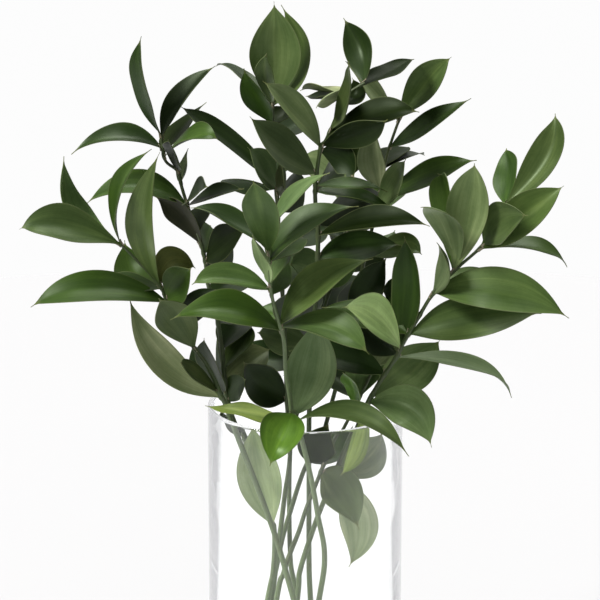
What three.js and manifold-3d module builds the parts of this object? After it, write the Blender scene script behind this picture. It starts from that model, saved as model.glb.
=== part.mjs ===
// Leafy ruscus stems standing in a clear glass cylinder vase.
// Millimetres, +Z up. The origin is the middle of the vase's underside.

import * as THREE from 'three';
import { mergeVertices } from 'three/addons/utils/BufferGeometryUtils.js';
import Module from 'manifold-3d';

const wasm = await Module();
wasm.setup();

// ---------------------------------------------------------------- driving dimensions

const VASE_HEIGHT = 280;
const VASE_RADIUS = 75;
const VASE_WALL = 4;
const VASE_FLOOR = 12;
const VASE_SIDES = 40;
const RIM_STEPS = 4;
const FOOT_BEVEL = 2;
const INNER_FILLET = 5;
const FILLET_STEPS = 2;

const STEM_FOOT_RADIUS = 2.1;
const STEM_TIP_RADIUS = 1.1;
const STEM_SIDES = 6;
const FOOT_GAP = 0.4;

const BLADE_THICKNESS = 0.8;
const BLADE_CUP = 0.16;
const BLADE_ROOT_WIDTH = 2.4;
const BLADE_STATIONS = [0, 0.17, 0.42, 0.73, 1];
// A leaf's outline is s^ROOT_POWER * (1 - s)^TIP_POWER, with s running from its root to its tip.
const ROOT_POWER = 0.85;
const TIP_POWER = 1;

// A leaf that would touch what is already there is bent along the line of sight by the first
// of these steps that clears it. A leaf that no step clears is left out.
const BEND_STEPS = [0, 6, -6, 12, -12, 18, -18, 25, -25, 33, -33];
const CLEARANCE = 0.6;
// Leaves of one stem may meet within this share of their length, at the stem.
const ROOT_SHARE = 0.2;

// ---------------------------------------------------------------- the setting-out sheet

// Stems and leaves are set out on a sheet that stands on the rim's centre and leans back. A
// point is given as across and up that sheet, as an eye square in front of it sees the point,
// and how far back the point lies from the vase's axis. Lines of sight meet at the eye.
const SHEET_LEAN = THREE.MathUtils.degToRad(16);
const SHEET_MIDDLE = { across: -4, up: 79 };
const EYE_DISTANCE = 2800;

const RIM_CENTRE = new THREE.Vector3(0, 0, VASE_HEIGHT);
const SHEET_UP = new THREE.Vector3(0, Math.sin(SHEET_LEAN), Math.cos(SHEET_LEAN));
const SHEET_OUT = new THREE.Vector3(0, -Math.cos(SHEET_LEAN), Math.sin(SHEET_LEAN));
const EYE = onSheet(SHEET_MIDDLE.across, SHEET_MIDDLE.up).addScaledVector(SHEET_OUT, EYE_DISTANCE);

function onSheet(across, up) {
  const point = RIM_CENTRE.clone().addScaledVector(SHEET_UP, up);
  point.x += across;
  return point;
}

// The point seen at across and up on the sheet that lies at y = back.
function place(across, up, back) {
  const point = onSheet(across, up);
  const sight = point.clone().sub(EYE);
  return point.addScaledVector(sight, (back - point.y) / sight.y);
}

// How far up the sheet a point is seen.
function seenUp(point) {
  const sight = point.clone().sub(EYE);
  sight.multiplyScalar(-EYE_DISTANCE / sight.dot(SHEET_OUT));
  return sight.add(EYE).sub(RIM_CENTRE).dot(SHEET_UP);
}

// ---------------------------------------------------------------- stems and their leaves

// foot: x and y of the cut end on the vase's floor.
// route: points up the stem, each across, up, back.
// leaves: node's height up the sheet, then the blade's middle across and up, its tip across, up
// and back, how far the middle is arched back, width, and turn about its length in degrees, from
// facing out of the sheet.
// far: leaves on the side away from the eye, from and to heights, how many, and the least and
// greatest bearing, in degrees clockwise from straight back, seen from above.
const STEMS = [
  {
    name: 'stem_front',
    foot: [-8, 8],
    route: [
      [11, -152, -16], [15, -119, -25], [10, -90, -34], [5, -62, -42], [-3, -29, -50], [-10, -8, -54],
      [-12, 6, -58], [-15, 25, -66], [-16, 45, -74], [-18, 55, -79], [-22, 68, -86], [-25, 79, -91],
      [-27, 91, -97], [-28, 118, -109], [-28, 130, -114],
    ],
    leaves: [
      [129, -11, 157, 18, 178, -140, 0, 26, 67],
      [118, -59, 143, -88, 150, -105, 6, 28, -62],
      [115, -34, 147, -40, 171, -152, -12, 28, 20],
      [107, -4, 137, 41, 153, -108, -4, 32, 51],
      [92, -33, 112, -42, 127, -130, 4, 20, 65],
      [91, -21, 105, -12, 118, -70, 0, 24, 55],
      [87, -59, 98, -88, 92, -116, -4, 30, -50],
      [59, 7, 91, 52, 112, -100, -8, 34, 40],
      [58, 18, 60, 49, 37, -118, -8, 32, 40],
      [55, -59, 73, -105, 65, -92, -6, 34, -43],
      [-8, -18, -22, -28, -50, -104, -16, 36, -10],
      [-10, 5, 27, 9, 67, -48, 6, 40, 0],
      [-14, 39, -8, 80, -41, -108, -10, 32, 60],
      [-17, -46, -8, -77, -3, -44, 0, 26, -66],
    ],
    far: { from: 20, to: 120, count: 4, left: 0, right: 25 },
  },
  {
    name: 'stem_left_low',
    foot: [22, -30],
    route: [
      [-9, -152, -34], [-25, -99, -31], [-52, -29, -28], [-61, -2, -27], [-65, 5, -28], [-69, 16, -30],
      [-77, 31, -34], [-90, 49, -39], [-107, 80, -47], [-109, 85, -48], [-113, 92, -50],
      [-124, 104, -54], [-142, 122, -60],
    ],
    leaves: [
      [122, -177, 147, -184, 189, -52, 6, 32, -55],
      [121, -187, 138, -221, 134, -62, -6, 32, -28],
      [121, -145, 162, -119, 196, -82, -6, 28, 66],
      [90, -126, 137, -112, 193, -98, -10, 30, 42],
      [89, -131, 100, -139, 125, 0, 8, 32, -15],
      [88, -142, 91, -164, 94, -20, 4, 28, -55],
      [78, -163, 89, -212, 74, -52, -8, 32, -40],
      [4, -113, 36, -134, 82, -44, -8, 30, -32],
      [91, -101, 108, -83, 104, -26, -4, 28, 15],
      [79, -98, 91, -87, 104, -82, 0, 32, 20],
      [9, -85, 22, -96, 31, -64, 0, 24, -65],
      [41, -100, 65, -112, 79, -82, 0, 32, 10],
    ],
    far: { from: 20, to: 115, count: 4, left: 0, right: 30 },
  },
  {
    name: 'stem_right',
    foot: [-19, -4],
    route: [
      [-6, -152, -8], [-4, -132, -8], [7, -99, -10], [14, -81, -12], [31, -40, -18], [51, 5, -25],
      [70, 35, -30], [75, 45, -32], [85, 62, -34], [99, 85, -37], [114, 101, -39], [140, 125, -42],
      [154, 152, -42],
    ],
    leaves: [
      [152, 185, 191, 191, 223, -24, -4, 30, 30],
      [151, 155, 178, 154, 196, 4, 4, 26, 43],
      [118, 169, 145, 199, 167, -62, -8, 34, 25],
      [121, 150, 139, 171, 144, -88, -6, 32, 20],
      [120, 177, 121, 203, 105, -30, -6, 28, 68],
      [102, 126, 152, 130, 184, -70, -8, 34, 20],
      [103, 107, 141, 89, 149, -64, 0, 30, 54],
      [100, 106, 159, 104, 176, -16, 4, 28, 55],
      [86, 122, 97, 142, 102, -22, 4, 28, 66],
      [84, 154, 86, 203, 65, -60, -10, 38, 25],
      [82, 108, 104, 101, 123, -60, 0, 24, 67],
      [52, 127, 65, 182, 69, -38, -6, 38, 25],
      [42, 54, 68, 28, 73, -88, -6, 33, -28],
      [42, 79, 92, 76, 128, -30, 4, 32, 42],
      [36, 132, 29, 159, 4, 8, 0, 25, 66],
      [4, 81, 25, 104, 49, -16, 0, 38, 15],
      [2, 80, -4, 97, -35, -66, -10, 36, 10],
      [-5, 41, -34, 27, -57, -44, 0, 20, 35],
      [-55, 50, -45, 62, -27, 0, 0, 32, 15],
      [-62, 42, -94, 34, -129, -16, 4, 32, 0],
    ],
    far: { from: 15, to: 75, count: 4, left: -75, right: -15 },
  },
  {
    name: 'stem_left_high',
    foot: [-50, -6],
    route: [
      [-29, -152, -2], [-25, -132, -6], [-24, -105, -9], [-28, -90, -9], [-48, -32, -5], [-59, -2, 0],
      [-62, 18, 3], [-64, 41, 6], [-69, 72, 10], [-75, 92, 12], [-77, 109, 13], [-83, 133, 14],
      [-89, 147, 15], [-95, 166, 15], [-98, 178, 15], [-108, 187, 14], [-111, 206, 14],
    ],
    leaves: [
      [205, -126, 243, -128, 282, 6, -4, 30, 66],
      [204, -97, 235, -69, 259, 22, 0, 27, 52],
      [197, -144, 207, -181, 192, 4, -6, 30, -58],
      [192, -97, 211, -76, 231, 44, 0, 30, 62],
      [190, -88, 206, -66, 203, -14, -6, 26, 60],
      [178, -102, 191, -106, 202, -34, 0, 20, 62],
      [169, -94, 181, -91, 196, 6, 0, 20, 70],
      [151, -131, 169, -169, 153, 16, -6, 31, -50],
      [151, -71, 161, -47, 164, -14, -4, 28, 66],
      [153, -85, 163, -76, 167, -40, -8, 26, 62],
      [122, -97, 147, -116, 157, 30, 0, 28, 50],
      [131, -83, 143, -82, 151, 46, 0, 22, 20],
      [108, -64, 122, -46, 133, -26, 0, 30, 35],
      [25, -50, 45, -42, 60, 40, 0, 22, 40],
      [18, -45, 32, -26, 42, 24, 0, 32, 20],
      [6, -73, 29, -79, 49, -16, 0, 26, 55],
      [5, -79, 25, -88, 46, 24, 0, 26, 45],
      [-2, -66, 33, -65, 64, 34, 0, 24, 78],
      [2, -53, 12, -46, 18, -22, 0, 20, 30],
      [-34, -58, -19, -65, -6, -8, 0, 18, 40],
      [-98, -36, -59, -41, -19, -30, -4, 36, 5],
    ],
    far: { from: 15, to: 140, count: 7, left: 0, right: 30 },
  },
  {
    name: 'stem_low',
    foot: [-40, -30],
    route: [
      [-22, -152, -22], [-17, -134, -21], [-12, -119, -21], [-5, -102, -22], [1, -84, -23], [10, -62, -24],
      [19, -40, -22], [31, -17, -16], [41, 2, -10], [52, 25, -4],
    ],
    leaves: [
      [24, 60, 44, 72, 60, 10, 0, 30, 30],
      [4, 48, 32, 62, 56, 0, 0, 34, 20],
      [-2, 36, 12, 29, 24, -52, 0, 18, 50],
      [-50, 9, -36, 19, -16, -40, 0, 32, 10],
      [-52, 27, -36, 37, -17, 26, 10, 26, 10],
      [-56, 28, -70, 41, -98, -44, 0, 34, 10],
    ],
    far: { from: -10, to: 40, count: 2, left: -30, right: 30 },
  },
  {
    name: 'stem_centre',
    foot: [10, 14],
    route: [
      [4, -152, 6], [3, -124, 5], [3, -75, 5], [3, -13, 5], [5, 33, 4], [8, 79, 3], [10, 129, 1],
      [8, 151, 0], [8, 170, -2], [12, 196, -4], [16, 202, -5], [23, 218, -6], [28, 232, -7], [36, 240, -8],
      [46, 246, -8],
    ],
    leaves: [
      [245, 42, 270, 29, 296, 30, 4, 26, 25],
      [236, 13, 243, -4, 241, 44, 0, 22, -80],
      [234, 15, 237, 1, 235, 26, 0, 20, -60],
      [235, 18, 235, 8, 227, -34, 0, 22, 70],
      [244, 65, 256, 84, 266, 40, 0, 22, 50],
      [210, 32, 237, 32, 262, -66, -4, 22, 65],
      [208, 54, 222, 88, 225, -30, -6, 32, 45],
      [197, 43, 208, 62, 216, -46, -4, 24, -30],
      [196, -6, 225, -33, 247, -18, -4, 28, -40],
      [178, -20, 198, -43, 220, -34, -4, 34, -38],
      [168, 36, 168, 64, 164, 0, -4, 22, 67],
      [162, 37, 160, 73, 146, 6, -2, 28, 66],
      [193, 30, 187, 38, 173, -30, 0, 24, -30],
      [130, 54, 142, 96, 136, -36, -8, 29, 50],
      [231, 38, 237, 36, 250, 12, 0, 20, 30],
    ],
    far: { from: 20, to: 200, count: 7, left: 15, right: 75 },
  },
  {
    name: 'stem_right_top',
    foot: [-34, 34],
    route: [
      [-27, -152, 26], [-23, -132, 24], [-18, -109, 20], [-12, -90, 18], [-2, -61, 18], [10, -36, 20],
      [21, 2, 25], [35, 56, 30], [47, 119, 36], [50, 128, 37], [58, 164, 41], [60, 178, 42],
      [65, 197, 44], [73, 220, 46],
    ],
    leaves: [
      [219, 91, 245, 112, 266, 34, 0, 28, 20],
      [217, 47, 246, 32, 263, 4, -4, 20, -50],
      [196, 93, 214, 127, 235, 20, -4, 25, 50],
      [182, 69, 193, 80, 197, 90, 0, 24, 50],
      [180, 77, 191, 92, 191, 96, 0, 22, 65],
      [165, 51, 187, 55, 209, 12, 0, 24, 20],
      [158, 96, 176, 131, 188, -2, -6, 27, 45],
      [152, 69, 170, 75, 187, -26, -4, 24, 45],
      [118, 60, 124, 69, 132, 84, 0, 18, 62],
      [114, 73, 120, 90, 115, 4, -4, 27, 45],
      [56, 49, 87, 62, 112, 14, 0, 32, 30],
    ],
    far: { from: 20, to: 190, count: 6, left: -15, right: 15 },
  },
  {
    name: 'stem_top',
    foot: [-40, 14],
    route: [
      [-26, -152, 4], [-22, -121, 5], [-18, -90, 6], [-16, -75, 7], [-12, -44, 10], [-14, 2, 14],
      [-16, 56, 18], [-19, 110, 20], [-22, 164, 20], [-23, 172, 20], [-25, 183, 20], [-27, 192, 19],
      [-25, 214, 18], [-25, 231, 17],
    ],
    leaves: [
      [230, -23, 272, -24, 308, 8, 0, 40, 0],
      [229, -6, 267, -20, 305, 36, 0, 30, 35],
      [229, -31, 252, -30, 268, -26, 0, 16, 30],
      [228, -52, 255, -69, 260, 64, 0, 19, -65],
      [215, -38, 235, -48, 256, -10, 0, 24, 45],
      [170, -64, 206, -96, 227, 4, -4, 32, -58],
      [165, -32, 181, -42, 196, -26, 0, 26, -42],
      [164, -50, 168, -65, 164, 60, 0, 24, 60],
      [159, -17, 173, -19, 186, -36, 0, 20, 65],
      [213, -19, 222, -13, 228, 46, 0, 22, 30],
      [4, -33, 14, -48, 32, -8, 0, 34, -15],
    ],
    far: { from: 20, to: 215, count: 7, left: 0, right: 40 },
  },
  {
    name: 'stem_back',
    foot: [6, 34],
    route: [
      [-7, -152, 24], [-12, -121, 23], [-12, -44, 34], [-4, 2, 44], [10, 56, 60], [23, 102, 78],
      [35, 148, 98], [36, 175, 110],
    ],
    leaves: [
      [174, 42, 205, 44, 228, 112, 0, 30, 20],
      [160, 12, 182, -4, 188, 116, 0, 30, -30],
      [130, 52, 146, 66, 150, 60, 0, 30, 40],
      [110, 46, 112, 62, 106, 50, 0, 32, 30],
      [90, 2, 104, -12, 106, 50, 0, 32, -30],
      [60, 40, 66, 58, 62, 40, 0, 32, 30],
      [40, -20, 50, -36, 54, 30, 0, 32, -20],
      [30, 26, 34, 40, 28, 20, 0, 30, 20],
    ],
    far: { from: 20, to: 165, count: 10, left: -80, right: 50 },
  },
];

// Leaves on the far side: millimetres and degrees. lift is how far the middle stands above the
// chord, as a share of the length, and spread is how far length and rise wander.
const FAR_LEAF = { length: 74, rise: 6, lift: 0.06, width: 30, turn: 35, spread: 12 };
// Their bearings and sizes step round by these shares, so that no two neighbours are alike.
const BEARING_SHARE = 0.618034;
const SIZE_SHARE = 0.414214;

// ---------------------------------------------------------------- shapes

const GLASS = new THREE.MeshStandardMaterial({
  color: 0xe9efee,
  roughness: 0.05,
  metalness: 0,
  transparent: true,
  opacity: 0.35,
});
const LEAF_GREENS = [0x4a6a3a, 0x42603a, 0x3b5634];
const leafGreen = (index) => new THREE.MeshStandardMaterial({
  color: LEAF_GREENS[index % LEAF_GREENS.length],
  roughness: 0.45,
  metalness: 0,
});

// The geometry with its shared corners made one, and without the triangles that this closes up.
function welded(geometry) {
  geometry.deleteAttribute('normal');
  geometry.deleteAttribute('uv');
  const merged = mergeVertices(geometry, 1e-4);
  const corners = [];
  for (let i = 0; i < merged.index.count; i += 3) {
    const [a, b, c] = [0, 1, 2].map((k) => merged.index.getX(i + k));
    if (a !== b && b !== c && c !== a) corners.push(a, b, c);
  }
  return merged.setIndex(corners);
}

function toSolid(geometry) {
  const { attributes, index } = welded(geometry);
  return new wasm.Manifold(new wasm.Mesh({
    numProp: 3,
    vertProperties: new Float32Array(attributes.position.array),
    triVerts: new Uint32Array(index.array),
  }));
}

// A solid's outer skin alone, so that a hollow which fusing has sealed is filled.
function filled(solid) {
  return solid.decompose().reduce((most, piece) => (piece.volume() > most.volume() ? piece : most));
}

function toMesh(name, solid, material) {
  const shape = filled(solid).getMesh();
  const geometry = new THREE.BufferGeometry();
  geometry.setAttribute('position', new THREE.BufferAttribute(shape.vertProperties, 3));
  geometry.setIndex(new THREE.BufferAttribute(shape.triVerts, 1));
  geometry.computeVertexNormals();
  const mesh = new THREE.Mesh(geometry, material);
  mesh.name = name;
  return mesh;
}

// Points of a round edge in a lathe profile, at angles in degrees from straight outwards.
function arc(radius, height, size, start, end, steps) {
  return Array.from({ length: steps + 1 }, (_, i) => {
    const angle = THREE.MathUtils.degToRad(start + ((end - start) * i) / steps);
    return new THREE.Vector2(radius + size * Math.cos(angle), height + size * Math.sin(angle));
  });
}

function vase() {
  const inner = VASE_RADIUS - VASE_WALL;
  const rim = VASE_WALL / 2;
  const profile = [
    new THREE.Vector2(0, 0),
    new THREE.Vector2(VASE_RADIUS - FOOT_BEVEL, 0),
    new THREE.Vector2(VASE_RADIUS, FOOT_BEVEL),
    ...arc(VASE_RADIUS - rim, VASE_HEIGHT - rim, rim, 0, 180, RIM_STEPS),
    ...arc(inner - INNER_FILLET, VASE_FLOOR + INNER_FILLET, INNER_FILLET, 0, -90, FILLET_STEPS),
    new THREE.Vector2(0, VASE_FLOOR),
  ];
  return toSolid(new THREE.LatheGeometry(profile, VASE_SIDES).rotateX(Math.PI / 2));
}

function stemCurve(stem) {
  const foot = new THREE.Vector3(...stem.foot, VASE_FLOOR + FOOT_GAP);
  const points = stem.route.map((point) => place(...point));
  return new THREE.CatmullRomCurve3([foot, ...points], false, 'catmullrom', 0.5);
}

// A tapered cylinder bent along the stem's curve, with a ring at each point of its route. Its
// cut end is level on the floor.
function stemTube(curve) {
  const steps = curve.points.length - 1;
  const tube = new THREE.CylinderGeometry(STEM_TIP_RADIUS, STEM_FOOT_RADIUS, 1, STEM_SIDES, steps);
  const spots = tube.attributes.position;
  for (let i = 0; i < spots.count; i += 1) {
    const t = Math.round((spots.getY(i) + 0.5) * steps) / steps;
    const along = curve.getTangent(t);
    const side = along.clone().cross(SHEET_OUT).normalize();
    const point = curve.getPoint(t)
      .addScaledVector(side, spots.getX(i))
      .addScaledVector(side.clone().cross(along), spots.getZ(i));
    if (t === 0) point.z = VASE_FLOOR + FOOT_GAP;
    spots.setXYZ(i, point.x, point.y, point.z);
  }
  return toSolid(tube);
}

// The point on a stem's centre line that is seen at a height up the sheet.
function nodeAt(curve, height) {
  const heights = curve.points.map(seenUp);
  const next = heights.findIndex((up, i) => i > 0 && up >= height);
  const above = next < 0 ? heights.length - 1 : next;
  const share = (height - heights[above - 1]) / (heights[above] - heights[above - 1]);
  return curve.points[above - 1].clone().lerp(curve.points[above], share);
}

function nearLeaf(curve, row) {
  const [at, midAcross, midUp, tipAcross, tipUp, tipBack, arch, width, turn] = row;
  const root = nodeAt(curve, at);
  const middle = place(midAcross, midUp, (root.y + tipBack) / 2 + arch);
  return { root, middle, tip: place(tipAcross, tipUp, tipBack), width, turn };
}

function farLeaf(curve, far, index, stemIndex) {
  const share = (index * BEARING_SHARE) % 1;
  const bearing = THREE.MathUtils.degToRad(far.left + (far.right - far.left) * share);
  const wander = (((stemIndex + index) * SIZE_SHARE) % 1 - 0.5) * FAR_LEAF.spread;
  const rise = THREE.MathUtils.degToRad(FAR_LEAF.rise + wander);
  const length = FAR_LEAF.length + wander;
  const root = nodeAt(curve, far.from + ((far.to - far.from) * (index + 0.5)) / far.count);
  const reach = new THREE.Vector3(Math.sin(bearing), Math.cos(bearing), Math.tan(rise))
    .setLength(length);
  const middle = root.clone().addScaledVector(reach, 0.5);
  middle.z += length * FAR_LEAF.lift;
  const turn = (share > 0.5 ? 1 : -1) * FAR_LEAF.turn;
  return { root, middle, tip: root.clone().add(reach), width: FAR_LEAF.width, turn };
}

// The leaf with its tip pushed a distance along the line of sight, and its middle half as far.
function bent(leaf, distance) {
  const push = (point, step) =>
    point.clone().addScaledVector(point.clone().sub(EYE).normalize(), step);
  return { ...leaf, middle: push(leaf.middle, distance / 2), tip: push(leaf.tip, distance) };
}

function outline(s) {
  const widest = ROOT_POWER / (ROOT_POWER + TIP_POWER);
  const shape = (t) => t ** ROOT_POWER * (1 - t) ** TIP_POWER;
  return shape(s) / shape(widest);
}

// A blade's solid. grow adds to it all round, and from leaves out that share of its root.
function blade(leaf, grow = 0, from = 0) {
  const control = leaf.middle.clone().multiplyScalar(2)
    .addScaledVector(leaf.root, -0.5).addScaledVector(leaf.tip, -0.5);
  const spine = new THREE.QuadraticBezierCurve3(leaf.root, control, leaf.tip);
  const chord = leaf.tip.clone().sub(leaf.root).normalize();
  const facing = SHEET_OUT.clone().addScaledVector(chord, -SHEET_OUT.dot(chord)).normalize();
  const turn = THREE.MathUtils.degToRad(leaf.turn);
  const rows = BLADE_STATIONS.length - 1;
  const sheet = new THREE.PlaneGeometry(2, 1, 2, rows);
  const spots = sheet.attributes.position;
  for (let i = 0; i < spots.count; i += 1) {
    const across = spots.getX(i);
    const station = BLADE_STATIONS[Math.round((0.5 - spots.getY(i)) * rows)];
    const s = from + (1 - from) * station;
    const along = spine.getTangent(s);
    const face = facing.clone().addScaledVector(along, -facing.dot(along)).normalize();
    const side = face.clone().cross(along);
    const normal = face.multiplyScalar(Math.cos(turn)).addScaledVector(side, Math.sin(turn));
    const half = Math.max(leaf.width * outline(s), BLADE_ROOT_WIDTH * (1 - s)) / 2 + grow;
    const point = spine.getPoint(s)
      .addScaledVector(normal.clone().cross(along), across * half)
      .addScaledVector(normal, Math.abs(across) * half * BLADE_CUP);
    spots.setXYZ(i, point.x, point.y, point.z);
  }
  return toSolid(thickened(welded(sheet), BLADE_THICKNESS + 2 * grow));
}

// The sheet and its copy turned over, split into the same triangles, with a strip round the edge.
function thickened(sheet, thickness) {
  sheet.computeVertexNormals();
  const { position, normal } = sheet.attributes;
  const count = position.count;
  const spots = [];
  for (const side of [0.5, -0.5]) {
    for (let i = 0; i < count; i += 1) {
      const point = new THREE.Vector3().fromBufferAttribute(position, i);
      const lift = new THREE.Vector3().fromBufferAttribute(normal, i);
      spots.push(...point.addScaledVector(lift, side * thickness).toArray());
    }
  }
  const corners = [];
  const edges = new Map();
  for (let i = 0; i < sheet.index.count; i += 3) {
    const [a, b, c] = [0, 1, 2].map((k) => sheet.index.getX(i + k));
    corners.push(a, b, c, count + c, count + b, count + a);
    for (const [p, q] of [[a, b], [b, c], [c, a]]) {
      if (!edges.delete(`${q},${p}`)) edges.set(`${p},${q}`, [p, q]);
    }
  }
  for (const [p, q] of edges.values()) {
    corners.push(q, p, count + p, q, count + p, count + q);
  }
  const geometry = new THREE.BufferGeometry();
  geometry.setAttribute('position', new THREE.Float32BufferAttribute(spots, 3));
  geometry.setIndex(corners);
  return geometry;
}

// ---------------------------------------------------------------- putting them together

const obstacle = (solid, owner) => ({ solid, owner, bounds: solid.boundingBox() });

const boxesMeet = (one, two) =>
  [0, 1, 2].every((k) => one.min[k] <= two.max[k] && two.min[k] <= one.max[k]);

function clear(probe, obstacles) {
  const box = probe.boundingBox();
  return obstacles.every(({ solid, bounds }) =>
    !boxesMeet(box, bounds) || probe.intersect(solid).isEmpty());
}

const glass = obstacle(vase(), 'glass_vase');
const plants = STEMS.map((stem) => {
  const curve = stemCurve(stem);
  const solid = stemTube(curve);
  return { stem, curve, solid, own: [obstacle(solid, stem.name)] };
});
const placed = [glass, ...plants.map(({ own }) => own[0])];

// Joins a leaf to its stem, bent clear of everything that is there already.
function grow(plant, leaf) {
  const { name } = plant.stem;
  const others = placed.filter(({ owner }) => owner !== name);
  const step = BEND_STEPS.find((distance) => {
    const tried = bent(leaf, distance);
    return clear(blade(tried, CLEARANCE), others)
      && clear(blade(tried, CLEARANCE, ROOT_SHARE), plant.own);
  });
  if (step === undefined) return;
  const chosen = bent(leaf, step);
  const solid = blade(chosen);
  placed.push(obstacle(solid, name));
  plant.own.push(obstacle(blade(chosen, 0, ROOT_SHARE), name));
  plant.solid = plant.solid.add(solid);
}

for (const plant of plants) {
  for (const row of plant.stem.leaves) {
    grow(plant, nearLeaf(plant.curve, row));
  }
}
plants.forEach((plant, stemIndex) => {
  const { far } = plant.stem;
  for (let index = 0; index < far.count; index += 1) {
    grow(plant, farLeaf(plant.curve, far, index, stemIndex));
  }
});

const group = new THREE.Group();
group.add(toMesh('glass_vase', glass.solid, GLASS));
plants.forEach(({ stem, solid }, index) => {
  group.add(toMesh(stem.name, solid, leafGreen(index)));
});

export default group;
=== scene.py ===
# Looks of a vase of leafy ruscus: fine leaves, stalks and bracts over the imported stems, and
# clear glass. Metres, +Z up. The origin is the middle of the vase's underside.

import random
from itertools import combinations
from math import cos, radians, sin, tau

import bmesh
import bpy
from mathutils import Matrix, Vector
from mathutils.bvhtree import BVHTree
from mathutils.kdtree import KDTree


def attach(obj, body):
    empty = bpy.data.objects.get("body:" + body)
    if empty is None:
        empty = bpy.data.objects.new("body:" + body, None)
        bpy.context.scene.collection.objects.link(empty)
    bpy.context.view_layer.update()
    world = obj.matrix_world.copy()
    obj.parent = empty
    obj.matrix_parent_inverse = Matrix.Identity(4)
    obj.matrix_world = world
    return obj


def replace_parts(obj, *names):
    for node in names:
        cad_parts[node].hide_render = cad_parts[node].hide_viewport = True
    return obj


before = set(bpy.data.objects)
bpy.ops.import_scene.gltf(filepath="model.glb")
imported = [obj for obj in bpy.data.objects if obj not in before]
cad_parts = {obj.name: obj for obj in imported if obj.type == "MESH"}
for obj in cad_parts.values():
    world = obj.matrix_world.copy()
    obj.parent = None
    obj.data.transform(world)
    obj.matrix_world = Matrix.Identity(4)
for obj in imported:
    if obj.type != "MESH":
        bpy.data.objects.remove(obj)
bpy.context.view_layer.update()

MM = 0.001

# ------------------------------------------------------------------ driving dimensions

VASE_HEIGHT = 280 * MM
VASE_RADIUS = 75 * MM
VASE_WALL = 4 * MM
VASE_FLOOR = 12 * MM
VASE_SIDES = 144
RIM_STEPS = 10
FOOT_BEVEL = 2 * MM
INNER_FILLET = 5 * MM
FILLET_STEPS = 5

STALK_FOOT_RADIUS = 2.4 * MM
STALK_TIP_RADIUS = 1.1 * MM
STALK_SIDES = 10
STALK_RINGS_PER_SPAN = 8
STALK_FOOT_GAP = 0.4 * MM
NODE_SWELL = 0.28
NODE_LENGTH = 2.2 * MM

LEAF_ACROSS = 10
LEAF_ALONG = 30
LEAF_THICKNESS = 0.5 * MM
PETIOLE_WIDTH = 1.5 * MM
AWN_WIDTH = 0.55 * MM
AWN_SHARE = 0.045
ROOT_POWER = (1.0, 1.25)
TIP_POWER = (1.02, 1.25)
FOLD = (6, 18)
MARGIN_LIFT = 0.16
TROUGH = (8, 26)
RIPPLE = (0.4 * MM, 1.5 * MM)
TWIST = 14
HOOK = (-1.2 * MM, 2.5 * MM)

# How far apart in the streaks' noise two leaves of a stem lie, so that no two are streaked alike.
STREAK_STEP = 3.7

# Leaves that meet past this share of their length keep only these shares of their own fold,
# trough, twist, ripple and hook, one after another until they clear. The rest is the plain form.
ROOT_SHARE = 0.2
EASING = (0.7, 0.4, 0.15, 0.0)
PLAIN_FOLD = 4
PLAIN_TROUGH = 10

BRACT_LENGTH = 5.5 * MM
BRACT_WIDTH = 2.4 * MM

# ------------------------------------------------------------------ the setting-out sheet

# Stems and leaves are set out on a sheet that stands on the rim's centre and leans back. Their
# rows give millimetres across and up that sheet, as an eye square in front of it sees the point,
# and how far back the point lies from the vase's axis. Lines of sight meet at the eye.
SHEET_LEAN = radians(16)
SHEET_MIDDLE = (-4, 79)
EYE_DISTANCE = 2800 * MM
RIM_CENTRE = Vector((0, 0, VASE_HEIGHT))
SHEET_UP = Vector((0, sin(SHEET_LEAN), cos(SHEET_LEAN)))
SHEET_OUT = Vector((0, -cos(SHEET_LEAN), sin(SHEET_LEAN)))


def on_sheet(across, up):
    return RIM_CENTRE + Vector((across * MM, 0, 0)) + SHEET_UP * up * MM


EYE = on_sheet(*SHEET_MIDDLE) + SHEET_OUT * EYE_DISTANCE


def place(across, up, back):
    """The point seen at across and up on the sheet that lies at y = back."""
    point = on_sheet(across, up)
    sight = point - EYE
    return point + sight * ((back * MM - point.y) / sight.y)


def seen_up(point):
    """How far up the sheet a point is seen, in millimetres."""
    sight = point - EYE
    sight *= -EYE_DISTANCE / sight.dot(SHEET_OUT)
    return (sight + EYE - RIM_CENTRE).dot(SHEET_UP) / MM


# ------------------------------------------------------------------ stems and their leaves

# Leaf greens, as linear colour. They are partly the leaves' own tones and partly painted light and
# shade: each leaf's green is made lighter or darker to give it the light or shade it shows, "sunlit"
# and "shade" most plainly.
GREENS = {
    "dark": (0.011, 0.022, 0.005),
    "deep": (0.021, 0.044, 0.008),
    "mid": (0.039, 0.080, 0.012),
    "soft": (0.078, 0.134, 0.035),
    "pale": (0.172, 0.236, 0.108),
    "grey": (0.090, 0.122, 0.054),
    "olive": (0.066, 0.082, 0.020),
    "fresh": (0.082, 0.180, 0.018),
    "lime": (0.260, 0.360, 0.080),
    "umber": (0.020, 0.020, 0.009),
    "shade": (0.010, 0.019, 0.004),
    "moss": (0.062, 0.096, 0.028),
    "light": (0.135, 0.208, 0.075),
    "mist": (0.320, 0.400, 0.200),
    "sunlit": (0.370, 0.570, 0.210),
}

# A stalk is paler at its foot.
FOOT_GREEN = "pale"

# The share of the common gloss on leaves of a duller green.
DULLNESS = {"shade": 0.25, "umber": 0.4}

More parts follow.
